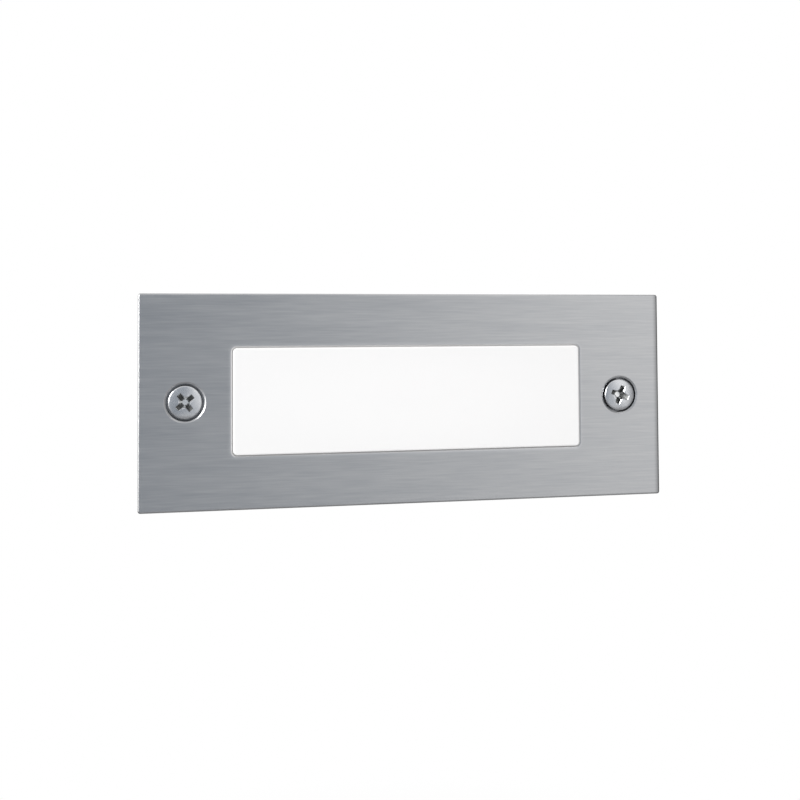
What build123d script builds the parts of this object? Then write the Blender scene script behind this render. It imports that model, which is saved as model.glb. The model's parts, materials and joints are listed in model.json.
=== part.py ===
from build123d import *
import os
from math import radians, tan

# Recessed wall light: a brushed steel face plate over a moulded box that is set into the wall.
# Millimetres. X runs along the plate, +Y goes into the wall and +Z is up.
# The wall surface is the plane y = 0, and the back of the box flange rests on it.

# Face plate, pressed from sheet
PLATE_WIDTH = 127.0
PLATE_HEIGHT = 50.0
PLATE_THICKNESS = 1.5
PLATE_CORNER_RADIUS = 0.6
PLATE_EDGE_ROUND = 0.5
WINDOW_SIDE_MARGIN = 21.2
WINDOW_TOP_MARGIN = 12.5
WINDOW_CORNER_RADIUS = 1.1
WINDOW_EDGE_ROUND = 0.45

# Cups pressed into the plate for the screw heads
SCREW_EDGE_INSET = 10.5
SEAT_DIAMETER = 8.7
SEAT_DEPTH = 2.9
SEAT_WALL = 1.0
SEAT_FLANK_WIDTH = 0.4
SEAT_FLANK_DEPTH = 0.28
SEAT_LIP_ROUND = 0.15
SEAT_BOTTOM_CHAMFER = 0.5

# Face screws: M4 pan heads with a cross recess, and the washers under them
SCREW_DIAMETER = 4.0
SCREW_LENGTH = 16.0
SCREW_TIP_CHAMFER = 0.5
HEAD_DIAMETER = 7.8
HEAD_HEIGHT = 3.1
HEAD_CROWN_RADIUS = 12.0
HEAD_RIM_ROUND = 0.5
CROSS_SPAN = 4.6
CROSS_ARM_WIDTH = 1.05
CROSS_LEAD_IN = 0.3
CROSS_FLOOR_SPAN = 1.9
CROSS_FLOOR_ARM_WIDTH = 0.8
CROSS_CORE_DIAMETER = 2.5
CROSS_CORE_FLOOR_DIAMETER = 1.2
CROSS_DEPTH = 2.1
LEFT_CROSS_TURN = 38.0
RIGHT_CROSS_TURN = -20.0
WASHER_DIAMETER = 7.4
WASHER_THICKNESS = 0.5

# Brass inserts that the face screws thread into
INSERT_DIAMETER = 5.8
INSERT_LENGTH = 8.0
INSERT_GROOVE_WIDTH = 1.2
INSERT_GROOVE_DEPTH = 0.35

# Gasket between plate, box and diffuser
GASKET_THICKNESS = 0.8
GASKET_INSET = 0.5
GASKET_WINDOW_GAP = 1.0
GASKET_SEAT_GAP = 0.4

# Moulded wall box
FLANGE_SETBACK = 1.0
FLANGE_LIP = 2.5
FLANGE_THICKNESS = 2.0
FLANGE_CORNER_RADIUS = 2.5
FLANGE_EDGE_CHAMFER = 0.4
BOX_DEPTH = 48.0
BOX_WALL = 2.0
BOX_DRAFT = 1.0
BOX_CORNER_RADIUS = 4.5
BOX_BACK_ROUND = 1.5
TOWER_WALL = 1.3
TOWER_GAP = 0.3
BORE_END_GAP = 1.5
WEB_THICKNESS = 1.6
WEB_SINK = 0.7
CRUSH_RIB_HEIGHT = 1.2
CRUSH_RIB_WIDTH = 1.8
CRUSH_RIB_START = 4.0
CRUSH_RIB_END_GAP = 5.0
CRUSH_RIB_LEAD_IN = 6.0
LONG_SIDE_RIB_PITCH = 24.0
SHORT_SIDE_RIB_PITCH = 16.0
KNOCKOUT_DIAMETER = 15.0
KNOCKOUT_GROOVE = 1.0
KNOCKOUT_DEPTH = 1.0
KNOCKOUT_FROM_BACK = 18.0
ANCHOR_HOLE_DIAMETER = 4.5
ANCHOR_SPACING = 78.0
ANCHOR_RISE = 13.5
ANCHOR_PAD_DIAMETER = 9.0
ANCHOR_PAD_HEIGHT = 1.2

# Opal diffuser, its seal and the reflector that carries them
LENS_FLANGE_THICKNESS = 3.0
LENS_WALL = 2.4
LENS_WINDOW_GAP = 0.15
LENS_RISE = 0.5
LENS_EDGE_ROUND = 0.4
LENS_CORNER_RADIUS = 2.5
LENS_SIDE_GAP = 0.2
SEAL_THICKNESS = 1.0
SEAL_WIDTH = 1.8
LEDGE_WIDTH = 2.4
LEDGE_THICKNESS = 1.8
REFLECTOR_DEPTH = 13.0
REFLECTOR_WALL = 1.4
REFLECTOR_DRAFT = 15.0
RIM_DROP = 0.5
RIM_SEAT_GAP = 0.4
FRAME_THICKNESS = 2.0
FRAME_GAP = 0.5
TOWER_NOTCH_GAP = 0.5

# Light board on its pad and folded carrier
BOARD_THICKNESS = 1.6
BOARD_CORNER_RADIUS = 1.0
BOARD_LAP = 1.8
BOARD_GAP = 0.4
PAD_THICKNESS = 0.5
PAD_INSET = 0.5
GEAR_THICKNESS = 1.5
GEAR_FOLD_DEPTH = 7.0
GEAR_FOLD_END_GAP = 11.0
LED_COLUMNS = 9
LED_END_GAP = 7.9
LED_ROW_SPACING = 9.6
LED_LENGTH = 3.5
LED_WIDTH = 2.8
LED_HEIGHT = 0.7
LED_WINDOW_MARGIN = 0.45
LED_WINDOW_DEPTH = 0.15
BOARD_SCREW_INSET = 3.0

# Slotted screws of the inner pieces
BOARD_SCREW_DIAMETER = 2.5
BOARD_SCREW_HEAD_DIAMETER = 4.4
BOARD_SCREW_HEAD_HEIGHT = 1.5
GEAR_SCREW_DIAMETER = 2.9
GEAR_SCREW_HEAD_DIAMETER = 5.2
GEAR_SCREW_HEAD_HEIGHT = 1.8
GEAR_SCREW_LENGTH = 12.0
GEAR_BOSS_DIAMETER = 6.4
GEAR_BOSS_INSET = 3.4
SLOTTED_HEAD_CHAMFER = 0.35
SCREW_SLOT_WIDTH = 0.9
SCREW_SLOT_DEPTH = 0.7
SCREW_TIP_GAP = 0.4

# Sealed driver on the back of the carrier
DRIVER_TOWER_GAP = 2.0
DRIVER_LENGTH = 40.0
DRIVER_HEIGHT = 24.0
DRIVER_DEPTH = 17.0
DRIVER_ROUND = 1.5
DRIVER_EAR_LENGTH = 6.0
DRIVER_EAR_HEIGHT = 10.0
DRIVER_EAR_THICKNESS = 2.0

# Two-pole terminal block on a pedestal of the box
TERMINAL_TOWER_GAP = 6.0
TERMINAL_LENGTH = 20.0
TERMINAL_HEIGHT = 13.0
TERMINAL_PITCH = 10.0
TERMINAL_SIDE_WALL = 1.5
TERMINAL_ROUND = 0.8
TERMINAL_SCREW_SPACING = 10.0
PEDESTAL_HEIGHT = 6.0
PEDESTAL_MARGIN = 2.0
FIXING_SCREW_GRIP = 5.5
TUBE_DIAMETER = 5.0
TUBE_BORE = 2.8
TUBE_INSET = 1.0
CLAMP_SCREW_DIAMETER = 2.6
CLAMP_WELL_DIAMETER = 3.4
CLAMP_SCREW_DROP = 0.8

# Cable entry in the back of the box
GROMMET_PEDESTAL_GAP = 3.0
GROMMET_BORE = 7.0
GROMMET_NECK_DIAMETER = 12.0
GROMMET_FLANGE_DIAMETER = 16.0
GROMMET_FLANGE_THICKNESS = 1.8
GROMMET_EDGE_CHAMFER = 0.6

# Wires
MAINS_WIRE_DIAMETER = 2.2
MAINS_WIRE_BEND = 3.0
MAINS_WIRE_GRIP = 7.0
MAINS_EXIT_RUN = 4.5
LED_WIRE_DIAMETER = 1.4
LED_WIRE_BEND = 2.0
LED_WIRE_HOLE_GAP = 0.4
LED_EXIT_SPACING = 12.0
LED_PAD_SPACING = 16.0

# Clearances shared by several fits
THREAD_CLEARANCE = 0.04
HOLE_CLEARANCE = 0.25

# Tolerance for finding edges by their place
TOUCH = 1e-4

# Depths of the stack, from the room side into the wall
flange_front_y = -FLANGE_THICKNESS
plate_back_y = flange_front_y - GASKET_THICKNESS
plate_front_y = plate_back_y - PLATE_THICKNESS
seat_floor_y = plate_front_y + SEAT_DEPTH
seat_bottom_y = seat_floor_y + SEAT_WALL
head_seat_y = seat_floor_y - WASHER_THICKNESS
screw_tip_y = head_seat_y + SCREW_LENGTH
tower_top_y = seat_bottom_y + TOWER_GAP
lens_front_y = flange_front_y
lens_pad_y = plate_front_y - LENS_RISE
lens_back_y = lens_front_y + LENS_FLANGE_THICKNESS
rim_front_y = lens_front_y + RIM_DROP
ledge_y = lens_back_y + SEAL_THICKNESS
board_front_y = ledge_y + REFLECTOR_DEPTH
board_back_y = board_front_y + BOARD_THICKNESS
gear_front_y = board_back_y + PAD_THICKNESS
gear_back_y = gear_front_y + GEAR_THICKNESS
frame_front_y = gear_front_y - FRAME_THICKNESS
floor_y = BOX_DEPTH - BOX_WALL

# Half widths (X) and half heights (Z) that the pieces share
plate_half = (PLATE_WIDTH / 2, PLATE_HEIGHT / 2)
window_half = (plate_half[0] - WINDOW_SIDE_MARGIN, plate_half[1] - WINDOW_TOP_MARGIN)
screw_x = plate_half[0] - SCREW_EDGE_INSET
seat_radius = SEAT_DIAMETER / 2 + SEAT_WALL
flange_half = tuple(h - FLANGE_SETBACK for h in plate_half)
box_half = tuple(h - FLANGE_LIP for h in flange_half)
cavity_half = tuple(h - BOX_WALL for h in box_half)
tower_radius = INSERT_DIAMETER / 2 + TOWER_WALL
cavity_narrowing = (gear_back_y - flange_front_y) * tan(radians(BOX_DRAFT))
frame_half = tuple(h - cavity_narrowing - FRAME_GAP for h in cavity_half)
rim_half = (screw_x - seat_radius - RIM_SEAT_GAP, frame_half[1])
lens_half = tuple(h - REFLECTOR_WALL - LENS_SIDE_GAP for h in rim_half)
skirt_half = tuple(h - REFLECTOR_WALL for h in rim_half)
mouth_half = tuple(h - LEDGE_WIDTH for h in lens_half)
funnel_narrowing = REFLECTOR_DEPTH * tan(radians(REFLECTOR_DRAFT))
well_half = tuple(h - funnel_narrowing for h in mouth_half)
board_half = tuple(h + BOARD_LAP for h in well_half)
board_tail_x = -(skirt_half[0] - BOARD_GAP)
gear_boss_at = tuple(h - GEAR_BOSS_INSET for h in frame_half)
led_wire_x = (board_tail_x - board_half[0]) / 2
led_wire_z = (board_half[1] + skirt_half[1]) / 2
terminal_top_y = floor_y - PEDESTAL_HEIGHT - TERMINAL_HEIGHT
tube_y = terminal_top_y + TERMINAL_HEIGHT / 2
driver_back_y = gear_back_y + DRIVER_DEPTH
mains_exit_y = (gear_back_y + driver_back_y) / 2
knockout_x = 1.5 * LONG_SIDE_RIB_PITCH
led_pitch = 2 * (well_half[0] - LED_END_GAP) / (LED_COLUMNS - 1)

# Places of the driver, the terminal block and the cable entry, counted inwards from the towers
tower_edge_x = screw_x - tower_radius
driver_x = DRIVER_TOWER_GAP + DRIVER_EAR_LENGTH + DRIVER_LENGTH / 2 - tower_edge_x
terminal_x = tower_edge_x - TERMINAL_TOWER_GAP - TERMINAL_LENGTH / 2
pedestal_size = (TERMINAL_LENGTH / 2 + PEDESTAL_MARGIN, TERMINAL_PITCH + PEDESTAL_MARGIN)
grommet_x = terminal_x - pedestal_size[0] / 2 - GROMMET_PEDESTAL_GAP - GROMMET_FLANGE_DIAMETER / 2


def facing(y):
    """Work plane at depth y that looks out of the wall, with X to the right and Z up."""
    return Plane(origin=(0, y, 0), x_dir=(1, 0, 0), z_dir=(0, -1, 0))


def slab(outline, y_front, y_back):
    """Outline in X and Z, given thickness between two depths."""
    return extrude(facing(y_back) * outline, y_back - y_front)


def rounded(half, radius):
    """Rounded rectangle from its half width and half height."""
    return RectangleRounded(2 * half[0], 2 * half[1], radius)


def drafted(half, radius, y_front, y_back, draft):
    """Rounded block that narrows into the wall by a moulding draft."""
    return extrude(facing(y_front) * rounded(half, radius), y_front - y_back, taper=draft)


def grown(half, amount):
    """Half sizes made larger all round by one amount."""
    return tuple(h + amount for h in half)


def post(radius, y_front, y_back, x=0.0, z=0.0):
    """Round bar along Y."""
    return slab(Pos(x, z) * Circle(radius), y_front, y_back)


def circles(radius, places):
    """Circles of one radius at several places in X and Z."""
    return [Pos(x, z) * Circle(radius) for x, z in places]


def posts(radius, y_front, y_back, places):
    """Round bars along Y at several places in X and Z."""
    return slab(Sketch() + circles(radius, places), y_front, y_back)


def turned(points):
    """Solid of revolution about Y from corners given as radius and depth."""
    return revolve(make_face(Polyline(*points, close=True)), Axis.Y)


def corners(at):
    """The four places that share one distance in X and in Z."""
    return [(x * at[0], z * at[1]) for x in (-1, 1) for z in (-1, 1)]


def pair(x, z=0.0):
    """Two places on either side of the middle."""
    return [(-x, z), (x, z)]


def edges_at(shape, y):
    """Edges that lie flat at one depth."""
    boxes = [(edge, edge.bounding_box()) for edge in shape.edges()]
    return [edge for edge, box in boxes if abs(box.min.Y - y) < TOUCH and abs(box.max.Y - y) < TOUCH]


def circles_at(shape, y, radius):
    """Full or part circles of one radius that lie flat at one depth."""
    arcs = [edge for edge in edges_at(shape, y) if edge.geom_type == GeomType.CIRCLE]
    return [edge for edge in arcs if abs(edge.radius - radius) < TOUCH]


def front_plate():
    """Face plate with its window and the two pressed cups."""
    plate = slab(rounded(plate_half, PLATE_CORNER_RADIUS), plate_front_y, plate_back_y)
    plate = fillet(edges_at(plate, plate_front_y), PLATE_EDGE_ROUND)
    plate -= slab(rounded(window_half, WINDOW_CORNER_RADIUS), plate_front_y, plate_back_y)
    window_edges = [e for e in edges_at(plate, plate_front_y) if abs(e.center().X) < window_half[0] + TOUCH
                    and abs(e.center().Z) < window_half[1] + TOUCH]
    plate = fillet(window_edges, WINDOW_EDGE_ROUND)
    plate += posts(seat_radius, plate_back_y, seat_bottom_y, pair(screw_x))
    plate = chamfer(circles_at(plate, seat_bottom_y, seat_radius), SEAT_BOTTOM_CHAMFER)
    cup_radius = SEAT_DIAMETER / 2
    lip_radius = cup_radius + SEAT_FLANK_WIDTH
    cup = turned([
        (0, plate_front_y),
        (lip_radius, plate_front_y),
        (cup_radius, plate_front_y + SEAT_FLANK_DEPTH),
        (cup_radius, seat_floor_y),
        (0, seat_floor_y),
    ])
    for x in (-screw_x, screw_x):
        plate -= Pos(x, 0, 0) * cup
    plate = fillet(circles_at(plate, plate_front_y, lip_radius), SEAT_LIP_ROUND)
    return plate - posts(SCREW_DIAMETER / 2 + HOLE_CLEARANCE, seat_floor_y, seat_bottom_y, pair(screw_x))


def plate_gasket():
    """Flat gasket behind the plate."""
    outline = rounded(grown(flange_half, -GASKET_INSET), FLANGE_CORNER_RADIUS - GASKET_INSET)
    outline -= rounded(grown(window_half, GASKET_WINDOW_GAP), WINDOW_CORNER_RADIUS + GASKET_WINDOW_GAP)
    outline -= circles(seat_radius + GASKET_SEAT_GAP, pair(screw_x))
    return slab(outline, plate_back_y, flange_front_y)


def cross_recess(turn):
    """Cross recess with a sloped lead-in that narrows as it goes in, centred on the Y axis."""
    top = head_seat_y - HEAD_HEIGHT
    floor = top + CROSS_DEPTH
    mouth = Rectangle(CROSS_SPAN + 2 * CROSS_LEAD_IN, CROSS_ARM_WIDTH + 2 * CROSS_LEAD_IN)
    throat = Rectangle(CROSS_SPAN, CROSS_ARM_WIDTH)
    base = Rectangle(CROSS_FLOOR_SPAN, CROSS_FLOOR_ARM_WIDTH)
    arms = []
    for angle in (0, 90):
        sections = [(top, mouth), (top + CROSS_LEAD_IN, throat), (floor, base)]
        outlines = [facing(y) * Rot(0, 0, turn + angle) * outline for y, outline in sections]
        arms.append(loft(outlines, ruled=True))
    core = turned([
        (0, top),
        (CROSS_CORE_DIAMETER / 2, top),
        (CROSS_CORE_FLOOR_DIAMETER / 2, floor),
        (0, floor),
    ])
    return arms[0] + arms[1] + core


def face_screw(x, turn):
    """Pan-head screw with a plain shank and a cross recess."""
    head_radius = HEAD_DIAMETER / 2
    shank_radius = SCREW_DIAMETER / 2 - THREAD_CLEARANCE
    crown_drop = HEAD_CROWN_RADIUS - (HEAD_CROWN_RADIUS**2 - head_radius**2) ** 0.5
    top = head_seat_y - HEAD_HEIGHT
    dome = Pos(0, top + HEAD_CROWN_RADIUS, 0) * Sphere(HEAD_CROWN_RADIUS)
    head = post(head_radius, top, head_seat_y) & dome
    head = fillet(edges_at(head, top + crown_drop), HEAD_RIM_ROUND)
    shank = post(shank_radius, head_seat_y, screw_tip_y)
    shank = chamfer(edges_at(shank, screw_tip_y), SCREW_TIP_CHAMFER)
    return Pos(x, 0, 0) * (head + shank - cross_recess(turn))


def screw_washer(x):
    """Sealing washer under a face screw's head."""
    ring = Circle(WASHER_DIAMETER / 2) - Circle(SCREW_DIAMETER / 2 + HOLE_CLEARANCE)
    return Pos(x, 0, 0) * slab(ring, head_seat_y, seat_floor_y)


def screw_insert(x):
    """Threaded brass insert with a holding groove round its middle."""
    outer = INSERT_DIAMETER / 2
    middle = tower_top_y + INSERT_LENGTH / 2
    insert = post(outer, tower_top_y, tower_top_y + INSERT_LENGTH)
    groove = Circle(outer) - Circle(outer - INSERT_GROOVE_DEPTH)
    insert -= slab(groove, middle - INSERT_GROOVE_WIDTH / 2, middle + INSERT_GROOVE_WIDTH / 2)
    insert -= post(SCREW_DIAMETER / 2, tower_top_y, tower_top_y + INSERT_LENGTH)
    return Pos(x, 0, 0) * insert


def crush_rib(reach):
    """One rib along the outside of the box on its upper side, with a sloped lead-in at the back."""
    base = reach - BOX_DEPTH * tan(radians(BOX_DRAFT)) - WEB_SINK
    top = reach + CRUSH_RIB_HEIGHT
    end = BOX_DEPTH - CRUSH_RIB_END_GAP
    profile = [
        (CRUSH_RIB_START, base),
        (CRUSH_RIB_START, top),
        (end - CRUSH_RIB_LEAD_IN, top),
        (end, base),
    ]
    face = Plane.YZ * make_face(Polyline(*profile, close=True))
    return extrude(face, CRUSH_RIB_WIDTH / 2, both=True)


def crush_ribs():
    """Ribs on all four sides of the box that grip the hole in the wall."""
    ribs = Part()
    for turn in (0, 180):
        for column in (-2, -1, 0, 1, 2):
            ribs += Rot(0, turn, 0) * Pos(column * LONG_SIDE_RIB_PITCH, 0, 0) * crush_rib(box_half[1])
    for turn in (90, 270):
        for row in (-0.5, 0.5):
            ribs += Rot(0, turn, 0) * Pos(row * SHORT_SIDE_RIB_PITCH, 0, 0) * crush_rib(box_half[0])
    return ribs


def knockouts():
    """Ring grooves in the long sides, where a second cable can be let in."""
    rings = Part()
    y = BOX_DEPTH - KNOCKOUT_FROM_BACK
    inset = y * tan(radians(BOX_DRAFT))
    outer = KNOCKOUT_DIAMETER / 2
    for x in (-knockout_x, knockout_x):
        for side in (-1, 1):
            ring = extrude(Circle(outer) - Circle(outer - KNOCKOUT_GROOVE), KNOCKOUT_DEPTH, both=True)
            rings += Pos(x, y, side * (box_half[1] - inset)) * ring
    return rings


def webs():
    """Webs that tie the towers and corner bosses to the walls."""
    wall_x = cavity_half[0] + WEB_SINK
    wall_z = cavity_half[1] + WEB_SINK
    outlines = Sketch()
    for side in (-1, 1):
        length = wall_x - screw_x
        outlines += Pos(side * (screw_x + length / 2), 0) * Rectangle(length, WEB_THICKNESS)
    tower_webs = slab(outlines, tower_top_y, floor_y)
    ties = Sketch()
    for x, z in corners(gear_boss_at):
        side_x = 1 if x > 0 else -1
        side_z = 1 if z > 0 else -1
        run = wall_x - abs(x)
        rise = wall_z - abs(z)
        ties += Pos(x + side_x * run / 2, z) * Rectangle(run, WEB_THICKNESS)
        ties += Pos(x, z + side_z * rise / 2) * Rectangle(WEB_THICKNESS, rise)
    return tower_webs + slab(ties, gear_back_y, floor_y)


def pedestal():
    """Raised pad in the box that the terminal block stands on."""
    return slab(Pos(terminal_x, 0) * Rectangle(*pedestal_size), floor_y - PEDESTAL_HEIGHT, floor_y)


def wall_box():
    """Drafted box with its flange, screw towers, bosses, ribs and cable entry."""
    box = drafted(box_half, BOX_CORNER_RADIUS, 0, BOX_DEPTH, BOX_DRAFT)
    box = fillet(edges_at(box, BOX_DEPTH), BOX_BACK_ROUND)
    box += crush_ribs()
    box -= knockouts()
    flange = slab(rounded(flange_half, FLANGE_CORNER_RADIUS), flange_front_y, 0)
    box += chamfer(edges_at(flange, flange_front_y), FLANGE_EDGE_CHAMFER)
    box -= drafted(cavity_half, BOX_CORNER_RADIUS - BOX_WALL, flange_front_y, floor_y, BOX_DRAFT)
    anchors = pair(ANCHOR_SPACING / 2, ANCHOR_RISE)
    box += webs()
    box += posts(tower_radius, tower_top_y, floor_y, pair(screw_x))
    box += posts(GEAR_BOSS_DIAMETER / 2, gear_back_y, floor_y, corners(gear_boss_at))
    box += posts(ANCHOR_PAD_DIAMETER / 2, floor_y - ANCHOR_PAD_HEIGHT, floor_y, anchors)
    box += pedestal()
    box -= posts(seat_radius + GASKET_SEAT_GAP, flange_front_y, tower_top_y, pair(screw_x))
    box -= posts(INSERT_DIAMETER / 2, tower_top_y, tower_top_y + INSERT_LENGTH, pair(screw_x))
    screw_bore_end = screw_tip_y + BORE_END_GAP
    gear_bore = GEAR_SCREW_DIAMETER / 2 + THREAD_CLEARANCE
    gear_bore_end = frame_front_y + GEAR_SCREW_LENGTH + BORE_END_GAP
    box -= posts(SCREW_DIAMETER / 2 + HOLE_CLEARANCE, tower_top_y, screw_bore_end, pair(screw_x))
    box -= posts(gear_bore, gear_back_y, gear_bore_end, corners(gear_boss_at))
    box -= posts(ANCHOR_HOLE_DIAMETER / 2, floor_y - ANCHOR_PAD_HEIGHT, BOX_DEPTH, anchors)
    box -= post(gear_bore, floor_y - PEDESTAL_HEIGHT, floor_y, terminal_x)
    return box - post(GROMMET_NECK_DIAMETER / 2, floor_y, BOX_DEPTH, grommet_x)


def diffuser():
    """Opal panel with a raised pad that stands out of the window, hollowed from behind."""
    pad_half = grown(window_half, -LENS_WINDOW_GAP)
    hollow_half = grown(pad_half, -LENS_WALL)
    lens = slab(rounded(lens_half, LENS_CORNER_RADIUS), lens_front_y, lens_back_y)
    lens += slab(rounded(pad_half, WINDOW_CORNER_RADIUS - LENS_WINDOW_GAP), lens_pad_y, lens_front_y)
    lens = fillet(edges_at(lens, lens_pad_y), LENS_EDGE_ROUND)
    return lens - slab(rounded(hollow_half, WINDOW_CORNER_RADIUS), lens_pad_y + LENS_WALL, lens_back_y)


def diffuser_seal():
    """Seal between the diffuser and the ledge of the reflector."""
    inner = grown(mouth_half, (LEDGE_WIDTH - SEAL_WIDTH) / 2)
    outline = rounded(grown(inner, SEAL_WIDTH), LENS_CORNER_RADIUS)
    return slab(outline - rounded(inner, LENS_CORNER_RADIUS - SEAL_WIDTH / 2), lens_back_y, ledge_y)


def carrier_outline():
    """Outline that the reflector's base and the carrier share, notched round the towers."""
    outline = rounded(frame_half, BOX_CORNER_RADIUS - BOX_WALL)
    notch = tower_radius + TOWER_NOTCH_GAP
    for side in (-1, 1):
        run = frame_half[0] - screw_x
        outline -= Pos(side * screw_x, 0) * Circle(notch)
        outline -= Pos(side * (screw_x + run / 2), 0) * Rectangle(run, 2 * notch)
    return outline - circles(GEAR_SCREW_DIAMETER / 2 + HOLE_CLEARANCE, corners(gear_boss_at))


def board_outline(gap):
    """Outline of the board with its wiring tail, widened all round by a gap."""
    tail_length = -board_tail_x - board_half[0]
    tail_x = board_tail_x + tail_length / 2
    outline = rounded(grown(board_half, gap), BOARD_CORNER_RADIUS + gap)
    return outline + Pos(tail_x, 0) * Rectangle(tail_length + 2 * gap, 2 * (board_half[1] + gap))


def reflector():
    """White frame: a rim that holds the diffuser, a funnel round the board and a screwed base."""
    shell = slab(rounded(rim_half, LENS_CORNER_RADIUS + REFLECTOR_WALL), rim_front_y, frame_front_y)
    shell -= slab(rounded(skirt_half, LENS_CORNER_RADIUS), rim_front_y, frame_front_y)
    shell += slab(rounded(skirt_half, LENS_CORNER_RADIUS), ledge_y, ledge_y + LEDGE_THICKNESS)
    funnel_half = grown(mouth_half, REFLECTOR_WALL)
    funnel_radius = LENS_CORNER_RADIUS + funnel_narrowing
    shell += drafted(funnel_half, funnel_radius, ledge_y, board_front_y, REFLECTOR_DRAFT)
    shell -= drafted(mouth_half, funnel_radius, ledge_y, board_front_y, REFLECTOR_DRAFT)
    wire_room = Rectangle(-board_tail_x - board_half[0], 2 * (led_wire_z + LED_WIRE_DIAMETER))
    base = carrier_outline() - board_outline(BOARD_GAP) - Pos(led_wire_x, 0) * wire_room
    return shell + slab(base, frame_front_y, gear_front_y)


def board_screw_places():
    """Places of the two screws that hold the board."""
    return pair(well_half[0] - BOARD_SCREW_INSET)


def driver_ear_places():
    """Places of the two screws that hold the driver."""
    reach = DRIVER_LENGTH / 2 + DRIVER_EAR_LENGTH / 2
    return [(driver_x - reach, 0), (driver_x + reach, 0)]


def led_board():
    """Board with a wiring tail at its left end."""
    outline = board_outline(0.0)
    outline -= circles(BOARD_SCREW_DIAMETER / 2 + HOLE_CLEARANCE, board_screw_places())
    return slab(outline, board_front_y, board_back_y)


def led_chips():
    """Two rows of chips, each with a shallow window."""
    top = board_front_y - LED_HEIGHT
    body = slab(Rectangle(LED_LENGTH, LED_WIDTH), top, board_front_y)
    window = Rectangle(LED_LENGTH - 2 * LED_WINDOW_MARGIN, LED_WIDTH - 2 * LED_WINDOW_MARGIN)
    chip = body - slab(window, top, top + LED_WINDOW_DEPTH)
    middle = (LED_COLUMNS - 1) / 2
    rows = (-LED_ROW_SPACING / 2, LED_ROW_SPACING / 2)
    return [Pos((column - middle) * led_pitch, 0, z) * chip for column in range(LED_COLUMNS) for z in rows]


def thermal_pad():
    """Soft pad between the board and the carrier."""
    outline = rounded(grown(board_half, -PAD_INSET), BOARD_CORNER_RADIUS)
    outline -= circles(BOARD_SCREW_DIAMETER / 2 + HOLE_CLEARANCE, board_screw_places())
    return slab(outline, board_back_y, gear_front_y)


def gear_plate():
    """Folded aluminium carrier for the board and the driver."""
    outline = carrier_outline()
    wire_hole = LED_WIRE_DIAMETER / 2 + LED_WIRE_HOLE_GAP
    outline -= circles(wire_hole, [(led_wire_x, -led_wire_z), (led_wire_x, led_wire_z)])
    outline -= circles(BOARD_SCREW_DIAMETER / 2 + THREAD_CLEARANCE, board_screw_places())
    outline -= circles(GEAR_SCREW_DIAMETER / 2 + THREAD_CLEARANCE, driver_ear_places())
    plate = slab(outline, gear_front_y, gear_back_y)
    fold = Rectangle(2 * (frame_half[0] - GEAR_FOLD_END_GAP), GEAR_THICKNESS)
    fold_z = frame_half[1] - GEAR_THICKNESS / 2
    folds = Sketch() + [Pos(0, z) * fold for z in (-fold_z, fold_z)]
    return plate + slab(folds, gear_front_y, gear_front_y + GEAR_FOLD_DEPTH)


def slotted_screw(diameter, head_diameter, head_height, length):
    """Slotted cheese-head screw along +Y with its head's seat at y = 0."""
    screw = post(head_diameter / 2, -head_height, 0)
    screw = chamfer(edges_at(screw, -head_height), SLOTTED_HEAD_CHAMFER)
    screw -= slab(Rectangle(head_diameter, SCREW_SLOT_WIDTH), -head_height, SCREW_SLOT_DEPTH - head_height)
    return screw + post(diameter / 2, 0, length)


def gear_screw(length):
    """The size of screw that holds carrier, driver and terminal block."""
    return slotted_screw(GEAR_SCREW_DIAMETER, GEAR_SCREW_HEAD_DIAMETER, GEAR_SCREW_HEAD_HEIGHT, length)


def board_screws():
    """Screws through the board into the carrier."""
    length = gear_back_y - board_front_y - SCREW_TIP_GAP
    screw = slotted_screw(BOARD_SCREW_DIAMETER, BOARD_SCREW_HEAD_DIAMETER, BOARD_SCREW_HEAD_HEIGHT, length)
    return [Pos(x, board_front_y, z) * screw for x, z in board_screw_places()]


def gear_screws():
    """Screws through the reflector's base and the carrier into the box."""
    screw = gear_screw(GEAR_SCREW_LENGTH)
    return [Pos(x, frame_front_y, z) * screw for x, z in corners(gear_boss_at)]


def driver_screws():
    """Screws through the driver's ears into the carrier, driven from behind."""
    screw = Rot(0, 0, 180) * gear_screw(DRIVER_EAR_THICKNESS + GEAR_THICKNESS - SCREW_TIP_GAP)
    return [Pos(x, gear_back_y + DRIVER_EAR_THICKNESS, z) * screw for x, z in driver_ear_places()]


def driver():
    """Potted driver case with two screwed ears."""
    case = slab(Pos(driver_x, 0) * Rectangle(DRIVER_LENGTH, DRIVER_HEIGHT), gear_back_y, driver_back_y)
    case = fillet(case.edges().filter_by(Axis.Y), DRIVER_ROUND)
    case = fillet(edges_at(case, driver_back_y), DRIVER_ROUND)
    ears = Rectangle(DRIVER_LENGTH + 2 * DRIVER_EAR_LENGTH, DRIVER_EAR_HEIGHT)
    case += slab(Pos(driver_x, 0) * ears, gear_back_y, gear_back_y + DRIVER_EAR_THICKNESS)
    hole = GEAR_SCREW_DIAMETER / 2 + HOLE_CLEARANCE
    return case - posts(hole, gear_back_y, gear_back_y + DRIVER_EAR_THICKNESS, driver_ear_places())


def terminal_poles():
    """The two heights of the terminal's poles."""
    return (-TERMINAL_PITCH / 2, TERMINAL_PITCH / 2)


def clamp_places():
    """Places of the four clamp screws of the terminal."""
    reach = TERMINAL_SCREW_SPACING / 2
    return [(terminal_x + x, z) for x in (-reach, reach) for z in terminal_poles()]


def along_x(radius, length, z):
    """Round bar along X through the middle of the terminal."""
    return Pos(terminal_x, tube_y, z) * Rot(0, 90, 0) * Cylinder(radius, length)


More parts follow.
